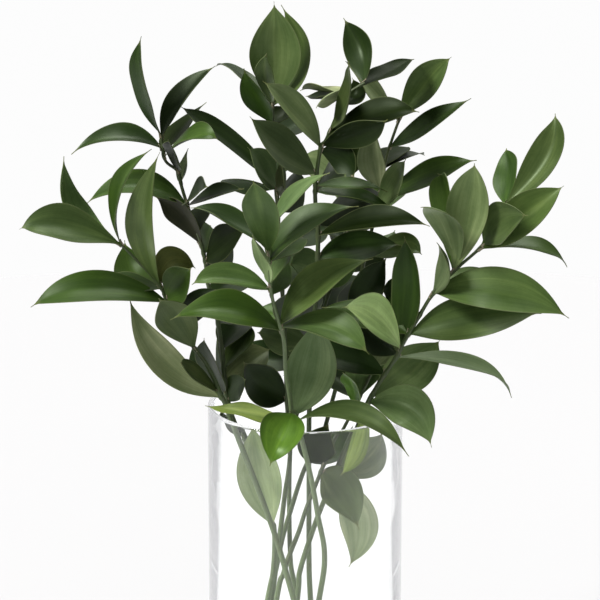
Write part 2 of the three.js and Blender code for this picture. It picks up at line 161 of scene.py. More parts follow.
# foot: x and y of the cut end on the vase's floor.
# route: points up the stem, each across, up, back.
# leaves: node's height up the sheet, then the blade's middle across and up, its tip across, up
# and back, how far the middle is arched back, width, turn about its length in degrees, and green.
# far: leaves on the side away from the eye, from and to heights, how many, and the least and
# greatest bearing, in degrees clockwise from straight back, seen from above.
STEMS = {
    "stem_front": {
        "foot": (-8, 8),
        "stalk": "pale",
        "route": [
            (11, -152, -16), (15, -119, -25), (10, -90, -34), (5, -62, -42), (-3, -29, -50),
            (-10, -8, -54), (-12, 6, -58), (-15, 25, -66), (-16, 45, -74), (-18, 55, -79),
            (-22, 68, -86), (-25, 79, -91), (-27, 91, -97), (-28, 118, -109), (-28, 130, -114),
        ],
        "leaves": [
            (129, -11, 157, 18, 178, -140, 0, 26, 67, "light"),
            (118, -59, 143, -88, 150, -105, 6, 28, -62, "deep"),
            (115, -34, 147, -40, 171, -152, -12, 28, 20, "soft"),
            (107, -4, 137, 41, 153, -108, -4, 32, 51, "deep"),
            (92, -33, 112, -42, 127, -130, 4, 20, 65, "mist"),
            (91, -21, 105, -12, 118, -70, 0, 24, 55, "light"),
            (87, -59, 98, -88, 92, -116, -4, 30, -50, "soft"),
            (59, 7, 91, 52, 112, -100, -8, 34, 40, "soft"),
            (58, 18, 60, 49, 37, -118, -8, 32, 40, "soft"),
            (55, -59, 73, -105, 65, -92, -6, 34, -43, "mid"),
            (-8, -18, -22, -28, -50, -104, -16, 36, -10, "fresh"),
            (-10, 5, 27, 9, 67, -48, 6, 40, 0, "pale"),
            (-14, 39, -8, 80, -41, -108, -10, 32, 60, "moss"),
            (-17, -46, -8, -77, -3, -44, 0, 26, -66, "lime"),
        ],
        "far": (20, 120, 4, 0, 25),
    },
    "stem_left_low": {
        "foot": (22, -30),
        "stalk": "moss",
        "route": [
            (-9, -152, -34), (-25, -99, -31), (-52, -29, -28), (-61, -2, -27), (-65, 5, -28),
            (-69, 16, -30), (-77, 31, -34), (-90, 49, -39), (-107, 80, -47), (-109, 85, -48),
            (-113, 92, -50), (-124, 104, -54), (-142, 122, -60),
        ],
        "leaves": [
            (122, -177, 147, -184, 189, -52, 6, 32, -55, "light"),
            (121, -187, 138, -221, 134, -62, -6, 32, -28, "moss"),
            (121, -145, 162, -119, 196, -82, -6, 28, 66, "mid"),
            (90, -126, 137, -112, 193, -98, -10, 30, 42, "moss"),
            (89, -131, 100, -139, 125, 0, 8, 32, -15, "mid"),
            (88, -142, 91, -164, 94, -20, 4, 28, -55, "deep"),
            (78, -163, 89, -212, 74, -52, -8, 32, -40, "mid"),
            (4, -113, 36, -134, 82, -44, -8, 30, -32, "mist"),
            (91, -101, 108, -83, 104, -26, -4, 28, 15, "olive"),
            (79, -98, 91, -87, 104, -82, 0, 32, 20, "mid"),
            (9, -85, 22, -96, 31, -64, 0, 24, -65, "moss"),
            (41, -100, 65, -112, 79, -82, 0, 32, 10, "grey"),
        ],
        "far": (20, 115, 4, 0, 30),
    },
    "stem_right": {
        "foot": (-19, -4),
        "stalk": "moss",
        "route": [
            (-6, -152, -8), (-4, -132, -8), (7, -99, -10), (14, -81, -12), (31, -40, -18),
            (51, 5, -25), (70, 35, -30), (75, 45, -32), (85, 62, -34), (99, 85, -37),
            (114, 101, -39), (140, 125, -42), (154, 152, -42),
        ],
        "leaves": [
            (152, 185, 191, 191, 223, -24, -4, 30, 30, "soft"),
            (151, 155, 178, 154, 196, 4, 4, 26, 43, "mid"),
            (118, 169, 145, 199, 167, -62, -8, 34, 25, "soft"),
            (121, 150, 139, 171, 144, -88, -6, 32, 20, "moss"),
            (120, 177, 121, 203, 105, -30, -6, 28, 68, "mid"),
            (102, 126, 152, 130, 184, -70, -8, 34, 20, "pale"),
            (103, 107, 141, 89, 149, -64, 0, 30, 54, "pale"),
            (100, 106, 159, 104, 176, -16, 4, 28, 55, "mid"),
            (86, 122, 97, 142, 102, -22, 4, 28, 66, "soft"),
            (84, 154, 86, 203, 65, -60, -10, 38, 25, "soft"),
            (82, 108, 104, 101, 123, -60, 0, 24, 67, "grey"),
            (52, 127, 65, 182, 69, -38, -6, 38, 25, "soft"),
            (42, 54, 68, 28, 73, -88, -6, 33, -28, "sunlit"),
            (42, 79, 92, 76, 128, -30, 4, 32, 42, "deep"),
            (36, 132, 29, 159, 4, 8, 0, 25, 66, "pale"),
            (4, 81, 25, 104, 49, -16, 0, 38, 15, "light"),
            (2, 80, -4, 97, -35, -66, -10, 36, 10, "light"),
            (-5, 41, -34, 27, -57, -44, 0, 20, 35, "lime"),
            (-55, 50, -45, 62, -27, 0, 0, 32, 15, "pale"),
            (-62, 42, -94, 34, -129, -16, 4, 32, 0, "mist"),
        ],
        "far": (15, 75, 4, -75, -15),
    },
    "stem_left_high": {
        "foot": (-50, -6),
        "stalk": "grey",
        "route": [
            (-29, -152, -2), (-25, -132, -6), (-24, -105, -9), (-28, -90, -9), (-48, -32, -5),
            (-59, -2, 0), (-62, 18, 3), (-64, 41, 6), (-69, 72, 10), (-75, 92, 12),
            (-77, 109, 13), (-83, 133, 14), (-89, 147, 15), (-95, 166, 15), (-98, 178, 15),
            (-108, 187, 14), (-111, 206, 14),
        ],
        "leaves": [
            (205, -126, 243, -128, 282, 6, -4, 30, 66, "deep"),
            (204, -97, 235, -69, 259, 22, 0, 27, 52, "dark"),
            (197, -144, 207, -181, 192, 4, -6, 30, -58, "deep"),
            (192, -97, 211, -76, 231, 44, 0, 30, 62, "shade"),
            (190, -88, 206, -66, 203, -14, -6, 26, 60, "mid"),
            (178, -102, 191, -106, 202, -34, 0, 20, 62, "shade"),
            (169, -94, 181, -91, 196, 6, 0, 20, 70, "pale"),
            (151, -131, 169, -169, 153, 16, -6, 31, -50, "mid"),
            (151, -71, 161, -47, 164, -14, -4, 28, 66, "dark"),
            (153, -85, 163, -76, 167, -40, -8, 26, 62, "dark"),
            (122, -97, 147, -116, 157, 30, 0, 28, 50, "umber"),
            (131, -83, 143, -82, 151, 46, 0, 22, 20, "shade"),
            (108, -64, 122, -46, 133, -26, 0, 30, 35, "shade"),
            (25, -50, 45, -42, 60, 40, 0, 22, 40, "moss"),
            (18, -45, 32, -26, 42, 24, 0, 32, 20, "mist"),
            (6, -73, 29, -79, 49, -16, 0, 26, 55, "dark"),
            (5, -79, 25, -88, 46, 24, 0, 26, 45, "dark"),
            (-2, -66, 33, -65, 64, 34, 0, 24, 78, "dark"),
            (2, -53, 12, -46, 18, -22, 0, 20, 30, "deep"),
            (-34, -58, -19, -65, -6, -8, 0, 18, 40, "dark"),
            (-98, -36, -59, -41, -19, -30, -4, 36, 5, "mist"),
        ],
        "far": (15, 140, 7, 0, 30),
    },
    "stem_low": {
        "foot": (-40, -30),
        "stalk": "grey",
        "route": [
            (-22, -152, -22), (-17, -134, -21), (-12, -119, -21), (-5, -102, -22),
            (1, -84, -23), (10, -62, -24), (19, -40, -22), (31, -17, -16), (41, 2, -10),
            (52, 25, -4),
        ],
        "leaves": [
            (24, 60, 44, 72, 60, 10, 0, 30, 30, "mist"),
            (4, 48, 32, 62, 56, 0, 0, 34, 20, "light"),
            (-2, 36, 12, 29, 24, -52, 0, 18, 50, "fresh"),
            (-50, 9, -36, 19, -16, -40, 0, 32, 10, "shade"),
            (-52, 27, -36, 37, -17, 26, 10, 26, 10, "mid"),
            (-56, 28, -70, 41, -98, -44, 0, 34, 10, "grey"),
        ],
        "far": (-10, 40, 2, -30, 30),
    },
    "stem_centre": {
        "foot": (10, 14),
        "stalk": "moss",
        "route": [
            (4, -152, 6), (3, -124, 5), (3, -75, 5), (3, -13, 5), (5, 33, 4), (8, 79, 3),
            (10, 129, 1), (8, 151, 0), (8, 170, -2), (12, 196, -4), (16, 202, -5),
            (23, 218, -6), (28, 232, -7), (36, 240, -8), (46, 246, -8),
        ],
        "leaves": [
            (245, 42, 270, 29, 296, 30, 4, 26, 25, "deep"),
            (236, 13, 243, -4, 241, 44, 0, 22, -80, "mist"),
            (234, 15, 237, 1, 235, 26, 0, 20, -60, "shade"),
            (235, 18, 235, 8, 227, -34, 0, 22, 70, "mist"),
            (244, 65, 256, 84, 266, 40, 0, 22, 50, "shade"),
            (210, 32, 237, 32, 262, -66, -4, 22, 65, "moss"),
            (208, 54, 222, 88, 225, -30, -6, 32, 45, "shade"),
            (197, 43, 208, 62, 216, -46, -4, 24, -30, "dark"),
            (196, -6, 225, -33, 247, -18, -4, 28, -40, "pale"),
            (178, -20, 198, -43, 220, -34, -4, 34, -38, "grey"),
            (168, 36, 168, 64, 164, 0, -4, 22, 67, "mid"),
            (162, 37, 160, 73, 146, 6, -2, 28, 66, "mid"),
            (193, 30, 187, 38, 173, -30, 0, 24, -30, "dark"),
            (130, 54, 142, 96, 136, -36, -8, 29, 50, "shade"),
            (231, 38, 237, 36, 250, 12, 0, 20, 30, "shade"),
        ],
        "far": (20, 200, 7, 15, 75),
    },
    "stem_right_top": {
        "foot": (-34, 34),
        "stalk": "moss",
        "route": [
            (-27, -152, 26), (-23, -132, 24), (-18, -109, 20), (-12, -90, 18), (-2, -61, 18),
            (10, -36, 20), (21, 2, 25), (35, 56, 30), (47, 119, 36), (50, 128, 37),
            (58, 164, 41), (60, 178, 42), (65, 197, 44), (73, 220, 46),
        ],
        "leaves": [
            (219, 91, 245, 112, 266, 34, 0, 28, 20, "soft"),
            (217, 47, 246, 32, 263, 4, -4, 20, -50, "mist"),
            (196, 93, 214, 127, 235, 20, -4, 25, 50, "deep"),
            (182, 69, 193, 80, 197, 90, 0, 24, 50, "shade"),
            (180, 77, 191, 92, 191, 96, 0, 22, 65, "dark"),
            (165, 51, 187, 55, 209, 12, 0, 24, 20, "mist"),
            (158, 96, 176, 131, 188, -2, -6, 27, 45, "mid"),
            (152, 69, 170, 75, 187, -26, -4, 24, 45, "light"),
            (118, 60, 124, 69, 132, 84, 0, 18, 62, "soft"),
            (114, 73, 120, 90, 115, 4, -4, 27, 45, "soft"),
            (56, 49, 87, 62, 112, 14, 0, 32, 30, "dark"),
        ],
        "far": (20, 190, 6, -15, 15),
    },
    "stem_top": {
        "foot": (-40, 14),
        "stalk": "grey",
        "route": [
            (-26, -152, 4), (-22, -121, 5), (-18, -90, 6), (-16, -75, 7), (-12, -44, 10),
            (-14, 2, 14), (-16, 56, 18), (-19, 110, 20), (-22, 164, 20), (-23, 172, 20),
            (-25, 183, 20), (-27, 192, 19), (-25, 214, 18), (-25, 231, 17),
        ],
        "leaves": [
            (230, -23, 272, -24, 308, 8, 0, 40, 0, "light"),
            (229, -6, 267, -20, 305, 36, 0, 30, 35, "soft"),
            (229, -31, 252, -30, 268, -26, 0, 16, 30, "light"),
            (228, -52, 255, -69, 260, 64, 0, 19, -65, "dark"),
            (215, -38, 235, -48, 256, -10, 0, 24, 45, "mid"),
            (170, -64, 206, -96, 227, 4, -4, 32, -58, "deep"),
            (165, -32, 181, -42, 196, -26, 0, 26, -42, "light"),
            (164, -50, 168, -65, 164, 60, 0, 24, 60, "mid"),
            (159, -17, 173, -19, 186, -36, 0, 20, 65, "grey"),
            (213, -19, 222, -13, 228, 46, 0, 22, 30, "shade"),
            (4, -33, 14, -48, 32, -8, 0, 34, -15, "dark"),
        ],
        "far": (20, 215, 7, 0, 40),
    },
    "stem_back": {
        "foot": (6, 34),
        "stalk": "moss",
        "route": [
            (-7, -152, 24), (-12, -121, 23), (-12, -44, 34), (-4, 2, 44), (10, 56, 60),
            (23, 102, 78), (35, 148, 98), (36, 175, 110),
        ],
        "leaves": [
            (174, 42, 205, 44, 228, 112, 0, 30, 20, "shade"),
            (160, 12, 182, -4, 188, 116, 0, 30, -30, "pale"),
            (130, 52, 146, 66, 150, 60, 0, 30, 40, "dark"),
            (110, 46, 112, 62, 106, 50, 0, 32, 30, "shade"),
            (90, 2, 104, -12, 106, 50, 0, 32, -30, "light"),
            (60, 40, 66, 58, 62, 40, 0, 32, 30, "dark"),
            (40, -20, 50, -36, 54, 30, 0, 32, -20, "light"),
            (30, 26, 34, 40, 28, 20, 0, 30, 20, "dark"),
        ],
        "far": (20, 165, 10, -80, 50),
    },
}

# Leaves on the far side: millimetres and degrees. lift is how far the middle stands above the
# chord, as a share of the length, and spread is how far length and rise wander.
FAR_LEAF = {"length": 74, "rise": 6, "lift": 0.06, "width": 30, "turn": 35, "spread": 12}
BEARING_SHARE = 0.618034
SIZE_SHARE = 0.414214
# The far leaves take the darker greens, partly as painted shade.
FAR_GREENS = ("deep", "dark", "mid")

# A leaf is bent along the line of sight by one of these steps, in millimetres, so that it clears
# its neighbours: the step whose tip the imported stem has. One that the stem lacks is left out.
BEND_STEPS = (0, 6, -6, 12, -12, 18, -18, 25, -25, 33, -33)
TIP_MATCH = 1.2 * MM


def catmull_rom(points, steps):
    """Points along a smooth curve through the given ones, with so many steps a span."""
    first = points[0] * 2 - points[1]
    last = points[-1] * 2 - points[-2]
    padded = [first, *points, last]
    curve = []
    for i in range(len(points) - 1):
        before, start, end, after = padded[i:i + 4]
        out = (end - before) / 2
        into = (after - start) / 2
        for step in range(steps):
            t = step / steps
            curve.append(
                start + out * t + ((end - start) * 3 - out * 2 - into) * t ** 2
                + ((start - end) * 2 + out + into) * t ** 3
            )
    return curve + [points[-1]]


def node_at(points, height):
    """The point on a stem's centre line that is seen at a height up the sheet."""
    heights = [seen_up(point) for point in points]
    above = next((i for i, up in enumerate(heights) if i and up >= height), len(points) - 1)
    share = (height - heights[above - 1]) / (heights[above] - heights[above - 1])
    return points[above - 1].lerp(points[above], share)


def near_leaf(points, row):
    at, mid_across, mid_up, tip_across, tip_up, tip_back, arch, width, turn, green = row
    root = node_at(points, at)
    middle = place(mid_across, mid_up, (root.y / MM + tip_back) / 2 + arch)
    tip = place(tip_across, tip_up, tip_back)
    return {"root": root, "middle": middle, "tip": tip, "width": width * MM, "turn": turn,
            "green": green}


def far_leaf(points, far, index, stem_index):
    lowest, highest, count, left, right = far
    share = index * BEARING_SHARE % 1
    bearing = radians(left + (right - left) * share)
    wander = ((stem_index + index) * SIZE_SHARE % 1 - 0.5) * FAR_LEAF["spread"]
    rise = radians(FAR_LEAF["rise"] + wander)
    length = (FAR_LEAF["length"] + wander) * MM
    root = node_at(points, lowest + (highest - lowest) * (index + 0.5) / count)
    heading = Vector((sin(bearing) * cos(rise), cos(bearing) * cos(rise), sin(rise)))
    tip = root + heading * length
    middle = (root + tip) / 2 + Vector((0, 0, length * FAR_LEAF["lift"]))
    turn = FAR_LEAF["turn"] if share > 0.5 else -FAR_LEAF["turn"]
    return {"root": root, "middle": middle, "tip": tip, "width": FAR_LEAF["width"] * MM,
            "turn": turn, "green": FAR_GREENS[index % len(FAR_GREENS)]}


def bent(leaf, step):
    """The leaf with its tip pushed a step along the line of sight, and its middle half as far."""
    pushed = dict(leaf)
    pushed["middle"] = leaf["middle"] + (leaf["middle"] - EYE).normalized() * step * MM / 2
    pushed["tip"] = leaf["tip"] + (leaf["tip"] - EYE).normalized() * step * MM
    return pushed


def as_packed(leaf, corners):
    """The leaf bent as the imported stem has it, or None where the stem has no such leaf."""
    tries = [bent(leaf, step) for step in BEND_STEPS]
    found = min(tries, key=lambda tried: corners.find(tried["tip"])[2])
    return found if corners.find(found["tip"])[2] < TIP_MATCH else None


def corner_tree(node):
    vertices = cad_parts[node].data.vertices
    tree = KDTree(len(vertices))
    for vertex in vertices:
        tree.insert(vertex.co, vertex.index)
    tree.balance()
    return tree


# ------------------------------------------------------------------ materials

def new_material(name, **sockets):
    material = bpy.data.materials.new(name)
    material.use_nodes = True
    shader = material.node_tree.nodes["Principled BSDF"]
    for socket, value in sockets.items():
        shader.inputs[socket.replace("_", " ")].default_value = value
    return material, material.node_tree.nodes, material.node_tree.links, shader


def attribute(nodes, name):
    node = nodes.new("ShaderNodeAttribute")
    node.attribute_name = name
    return node


def math_node(nodes, links, operation, first, second=None):
    node = nodes.new("ShaderNodeMath")
    node.operation = operation
    for socket, value in zip(node.inputs, (first, second)):
        if isinstance(value, (int, float)):
            socket.default_value = value
        elif value is not None:
            links.new(value, socket)
    return node.outputs[0]


def noise(nodes, links, vector, scale, detail=3.0):
    node = nodes.new("ShaderNodeTexNoise")
    node.inputs["Scale"].default_value = scale
    node.inputs["Detail"].default_value = detail
    links.new(vector, node.inputs["Vector"])
    return node.outputs["Fac"]


def map_range(nodes, links, value, low, high, to_low, to_high):
    node = nodes.new("ShaderNodeMapRange")
    node.inputs["From Min"].default_value = low
    node.inputs["From Max"].default_value = high
    node.inputs["To Min"].default_value = to_low
    node.inputs["To Max"].default_value = to_high
    links.new(value, node.inputs["Value"])
    return node.outputs["Result"]


def mix(nodes, links, blend, factor, first, second):
    node = nodes.new("ShaderNodeMix")
    node.data_type = "RGBA"
    node.blend_type = blend
    sockets = (node.inputs[0], node.inputs[6], node.inputs[7])
    for socket, value in zip(sockets, (factor, first, second)):
        if isinstance(value, (int, float, tuple)):
            socket.default_value = value
        else:
            links.new(value, socket)
    return node.outputs[2]


def bump(nodes, links, shader, height, strength, distance):
    node = nodes.new("ShaderNodeBump")
    node.inputs["Strength"].default_value = strength
    node.inputs["Distance"].default_value = distance
    links.new(height, node.inputs["Height"])
    links.new(node.outputs["Normal"], shader.inputs["Normal"])


def leaf_material():
    material, nodes, links, shader = new_material("leaf_surface", IOR=1.45)
    shader.inputs["Specular Tint"].default_value = (0.82, 1.0, 0.70, 1)
    coords = nodes.new("ShaderNodeTexCoord")
    uv = nodes.new("ShaderNodeSeparateXYZ")
    links.new(coords.outputs["UV"], uv.inputs[0])
    across = uv.outputs["X"]
    along = uv.outputs["Y"]
    off_rib = math_node(nodes, links, "SUBTRACT", across, 0.5)
    out_from_rib = math_node(nodes, links, "ABSOLUTE", off_rib)
    patch = noise(nodes, links, coords.outputs["Object"], 38.0)
    grain = noise(nodes, links, coords.outputs["Object"], 420.0, 4.0)
    number = attribute(nodes, "leaf_number").outputs["Fac"]

    def lengthwise(count, runs):
        """Noise drawn out along the blade: so many streaks across it and runs along it."""
        spread = nodes.new("ShaderNodeCombineXYZ")
        links.new(math_node(nodes, links, "MULTIPLY", across, count), spread.inputs["X"])
        links.new(math_node(nodes, links, "MULTIPLY", along, runs), spread.inputs["Y"])
        links.new(number, spread.inputs["Z"])
        return noise(nodes, links, spread.outputs[0], 1.0)

    veins = lengthwise(60.0, 2.0)
    streaks = lengthwise(11.0, 1.1)
    # Broad lengthwise patches where the green is made lighter and greyer: a painted sheen.
    sheen_bands = lengthwise(2.6, 0.9)
    under = attribute(nodes, "under").outputs["Fac"]
    green = attribute(nodes, "green").outputs["Color"]
    patched = mix(nodes, links, "MULTIPLY", map_range(nodes, links, patch, 0.35, 0.65, 0.0, 0.5),
                  green, (0.60, 0.66, 0.55, 1))
    banded = mix(nodes, links, "MULTIPLY", map_range(nodes, links, sheen_bands, 0.40, 0.66, 0.0, 1.0),
                 patched, (1.75, 1.60, 1.75, 1))
    streaked = mix(nodes, links, "MULTIPLY", map_range(nodes, links, streaks, 0.50, 0.72, 0.0, 0.55),
                   banded, (1.55, 1.42, 1.50, 1))
    veined = mix(nodes, links, "MULTIPLY", map_range(nodes, links, veins, 0.35, 0.65, 0.0, 0.45),
                 streaked, (0.66, 0.72, 0.62, 1))
    grained = mix(nodes, links, "MULTIPLY", map_range(nodes, links, grain, 0.3, 0.7, 0.0, 0.3),
                  veined, (0.7, 0.72, 0.66, 1))
    paler = mix(nodes, links, "MIX", math_node(nodes, links, "MULTIPLY", under, 0.4), grained,
                (0.070, 0.100, 0.040, 1))
    margin = map_range(nodes, links, out_from_rib, 0.470, 0.495, 0.0, 0.5)
    edged = mix(nodes, links, "MIX", margin, paler, (0.170, 0.200, 0.085, 1))
    tip = map_range(nodes, links, along, 0.90, 0.975, 0.0, 0.8)
    tipped = mix(nodes, links, "MIX", tip, edged, (0.200, 0.215, 0.080, 1))
    links.new(tipped, shader.inputs["Base Color"])
    top_gloss = map_range(nodes, links, patch, 0.3, 0.7, 0.30, 0.46)
    duller_under = math_node(nodes, links, "MULTIPLY", under, 0.18)
    rough = math_node(nodes, links, "ADD", top_gloss, duller_under)
    links.new(rough, shader.inputs["Roughness"])
    gloss = math_node(nodes, links, "MULTIPLY", attribute(nodes, "gloss").outputs["Fac"], 0.34)
    links.new(gloss, shader.inputs["Specular IOR Level"])
    relief = math_node(nodes, links, "ADD", math_node(nodes, links, "MULTIPLY", veins, 0.7),
                       math_node(nodes, links, "MULTIPLY", grain, 0.4))
    bump(nodes, links, shader, relief, 0.35, 0.14 * MM)
    return material


def stalk_material():
    material, nodes, links, shader = new_material("stalk")
    coords = nodes.new("ShaderNodeTexCoord")
    stretch = nodes.new("ShaderNodeMapping")
    stretch.inputs["Scale"].default_value = (1.0, 1.0, 0.08)
    links.new(coords.outputs["Object"], stretch.inputs["Vector"])
    streaks = noise(nodes, links, stretch.outputs["Vector"], 900.0, 4.0)
    patch = noise(nodes, links, coords.outputs["Object"], 60.0)
    green = attribute(nodes, "green").outputs["Color"]
    streaked = mix(nodes, links, "MULTIPLY", map_range(nodes, links, streaks, 0.3, 0.7, 0.0, 0.6),
                   green, (0.55, 0.6, 0.5, 1))
    patched = mix(nodes, links, "MIX", map_range(nodes, links, patch, 0.5, 0.75, 0.0, 0.4),
                  streaked, (0.110, 0.105, 0.060, 1))
    links.new(patched, shader.inputs["Base Color"])
    links.new(map_range(nodes, links, patch, 0.3, 0.7, 0.36, 0.52), shader.inputs["Roughness"])
    bump(nodes, links, shader, streaks, 0.4, 0.1 * MM)
    return material


def bract_material():
    material, nodes, links, shader = new_material("bract")
    coords = nodes.new("ShaderNodeTexCoord")
    fibres = noise(nodes, links, coords.outputs["Object"], 700.0, 4.0)
    papery = mix(nodes, links, "MIX", map_range(nodes, links, fibres, 0.35, 0.65, 0.0, 1.0),
                 (0.20, 0.165, 0.10, 1), (0.42, 0.38, 0.28, 1))
    links.new(papery, shader.inputs["Base Color"])
    links.new(map_range(nodes, links, fibres, 0.3, 0.7, 0.6, 0.8), shader.inputs["Roughness"])
    bump(nodes, links, shader, fibres, 0.5, 0.15 * MM)
    return material


def glass_material():
    """Clear glass, a little wavy, that lets lamplight through to what stands in it."""
    material, nodes, links, shader = new_material(
        "clear_glass", Transmission_Weight=1.0, IOR=1.46, Roughness=0.0,
    )
    coords = nodes.new("ShaderNodeTexCoord")
    shader.inputs["Base Color"].default_value = (0.985, 0.992, 0.988, 1)
    swell = noise(nodes, links, coords.outputs["Object"], 14.0, 1.0)
    bump(nodes, links, shader, swell, 0.06, 1.0 * MM)
    opening = nodes.new("ShaderNodeBsdfTransparent")
    rays = nodes.new("ShaderNodeLightPath")
    surface = shader.outputs["BSDF"]
    for kind_of_light in ("Is Shadow Ray", "Is Diffuse Ray"):
        lets_it_in = nodes.new("ShaderNodeMixShader")
        links.new(rays.outputs[kind_of_light], lets_it_in.inputs[0])
        links.new(surface, lets_it_in.inputs[1])
        links.new(opening.outputs["BSDF"], lets_it_in.inputs[2])
        surface = lets_it_in.outputs[0]
    links.new(surface, nodes["Material Output"].inputs["Surface"])
    return material


def floor_material():
    material, nodes, links, shader = new_material("pale_floor", Roughness=0.8)
    coords = nodes.new("ShaderNodeTexCoord")
    cloud = noise(nodes, links, coords.outputs["Object"], 1.5)
    white = mix(nodes, links, "MIX", cloud, (0.617, 0.619, 0.643, 1), (0.637, 0.639, 0.663, 1))
    links.new(white, shader.inputs["Base Color"])
    return material


# ------------------------------------------------------------------ pieces

def finished(name, mesh_in_work, material, crease=180):
    """Makes an object of the mesh, with creases sharper than the given angle left unsmoothed."""
    mesh = bpy.data.meshes.new(name)
    mesh_in_work.to_mesh(mesh)
    mesh_in_work.free()
    mesh.shade_smooth()
    mesh.set_sharp_from_angle(angle=radians(crease))
    mesh.materials.append(material)
    piece = bpy.data.objects.new(name, mesh)
    bpy.context.scene.collection.objects.link(piece)
    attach(piece, "root")
    return piece


def section(out, fold, trough):
    """Across and up to a point of a blade's cross-section, out from the rib, for half width 1.

    The section rises by fold degrees at the rib and by trough degrees more at the margin."""
    steps = 6
    across = up = 0.0
    for i in range(steps):
        share = (i + 0.5) / steps * out
        angle = radians(fold + trough * share)
        across += cos(angle) * out / steps
        up += sin(angle) * out / steps
    return across, up


class Blade:
    """The fine form of one leaf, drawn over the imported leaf's root, middle, tip, width and turn."""

    def __init__(self, leaf, number, rng):
        self.number = number
        self.root = leaf["root"]
        self.tip = leaf["tip"]
        self.control = leaf["middle"] * 2 - self.root * 0.5 - self.tip * 0.5
        self.width = leaf["width"]
        self.turn = leaf["turn"]
        chord = (self.tip - self.root).normalized()
        self.facing = (SHEET_OUT - chord * SHEET_OUT.dot(chord)).normalized()
        self.root_power = rng.uniform(*ROOT_POWER)
        self.tip_power = rng.uniform(*TIP_POWER)
        self.fold = rng.uniform(*FOLD)
        self.trough = rng.uniform(*TROUGH)
        self.ripple = rng.uniform(*RIPPLE)
        self.cycles = rng.uniform(0.8, 1.7)
        self.phases = (rng.uniform(0, tau), rng.uniform(0, tau))
        self.twist = rng.uniform(-TWIST, TWIST)
        self.hook = rng.uniform(*HOOK)
        self.kept = 1.0
        self.gloss = DULLNESS.get(leaf["green"], 1.0)
        shade = rng.uniform(0.92, 1.08)
        self.green = [band * shade * rng.uniform(0.94, 1.06) for band in GREENS[leaf["green"]]]

    def half_width(self, s):
        def shape(t):
            return t ** self.root_power * (1 - t) ** self.tip_power
        widest = self.root_power / (self.root_power + self.tip_power)
        body = min(s / (1 - AWN_SHARE), 1.0)
        blade = self.width / 2 * shape(body) / shape(widest)
        least = PETIOLE_WIDTH / 2 if s < 0.5 else AWN_WIDTH / 2 * (1.4 - s)
        return max(blade, least)

    def point(self, x, s):
        """The point at x from -1 to 1 across and s from 0 to 1 along."""
        spine = self.root * (1 - s) ** 2 + self.control * (2 * s * (1 - s)) + self.tip * s ** 2
        along = ((self.control - self.root) * (1 - s) + (self.tip - self.control) * s).normalized()
        face = (self.facing - along * self.facing.dot(along)).normalized()
        side = face.cross(along)
        turn = radians(self.turn + self.kept * self.twist * (s - 0.5) * min(1, 4 * s))
        normal = face * cos(turn) + side * sin(turn)
        across = along.cross(normal)
        half = self.half_width(s)
        out = abs(x)
        right = x > 0
        fold = (PLAIN_FOLD + (self.fold - PLAIN_FOLD) * self.kept) * 4 * s * (1 - s)
        trough = PLAIN_TROUGH + (self.trough - PLAIN_TROUGH) * self.kept
        reach, lift = section(out, fold, trough)
        lift -= section(1, fold, trough)[1] - MARGIN_LIFT
        wave = sin(tau * self.cycles * s + self.phases[right]) * out ** 2 * 4 * s * (1 - s)
        droop = self.hook * max(0.0, (s - 0.72) / 0.28) ** 2
        return (spine + across * reach * half * (1 if right else -1)
                + normal * (lift * half + (wave * self.ripple - droop) * self.kept))


def skin(blade):
    """The two faces of a blade past its root, to feel for leaves in its way."""
    bm = bmesh.new()
    for sunk in (0, LEAF_THICKNESS):
        grid = bmesh.ops.create_grid(bm, x_segments=LEAF_ACROSS, y_segments=LEAF_ALONG, size=1)
        for vertex in grid["verts"]:
            s = ROOT_SHARE + (1 - ROOT_SHARE) * (vertex.co.y + 1) / 2
            vertex.co = blade.point(vertex.co.x, s)
        bm.normal_update()
        for vertex in grid["verts"]:
            vertex.co -= vertex.normal * sunk
    tree = BVHTree.FromBMesh(bm)
    bm.free()
    return tree


def meeting(blades):
    """The blades that cross another one past their roots."""
    skins = [skin(blade) for blade in blades]
    pairs = combinations(range(len(blades)), 2)
    crossed = {i for pair in pairs if skins[pair[0]].overlap(skins[pair[1]]) for i in pair}
    return [blades[i] for i in sorted(crossed)]


def add_blade(bm, blade, layers):
    grid = bmesh.ops.create_grid(
        bm, x_segments=LEAF_ACROSS, y_segments=LEAF_ALONG, size=1, calc_uvs=True)
    top = grid["verts"]
    for vertex in top:
        vertex.co = blade.point(vertex.co.x, (vertex.co.y + 1) / 2)
        vertex[layers["green"]] = (*blade.green, 1)
        vertex[layers["gloss"]] = blade.gloss
        vertex[layers["leaf_number"]] = blade.number * STREAK_STEP
    faces = list({face for vertex in top for face in vertex.link_faces})
    for face in faces:
        face.normal_update()
    for vertex in top:
        vertex.normal_update()
    inwards = {vertex: -vertex.normal * LEAF_THICKNESS for vertex in top}
    doubled = bmesh.ops.extrude_face_region(bm, geom=faces, use_keep_orig=True)
    below = [item for item in doubled["geom"] if isinstance(item, bmesh.types.BMVert)]
    whole = [item for item in doubled["geom"] if isinstance(item, bmesh.types.BMFace)]
    nearest = KDTree(len(top))
    for i, vertex in enumerate(top):
        nearest.insert(vertex.co, i)
    nearest.balance()
    for vertex in below:
        above = top[nearest.find(vertex.co)[1]]
        vertex.co += inwards[above]
        vertex[layers["under"]] = 1
    rim = list({face for vertex in below for face in vertex.link_faces} | set(faces) | set(whole))
    bmesh.ops.recalc_face_normals(bm, faces=rim)


def leaves_piece(name, blades, material):
    bm = bmesh.new()
    bm.loops.layers.uv.new("across_along")
    layers = {name: bm.verts.layers.float.new(name) for name in ("under", "gloss", "leaf_number")}
    layers["green"] = bm.verts.layers.float_color.new("green")
    for blade in blades:
        add_blade(bm, blade, layers)
    return finished(name, bm, material, crease=45)


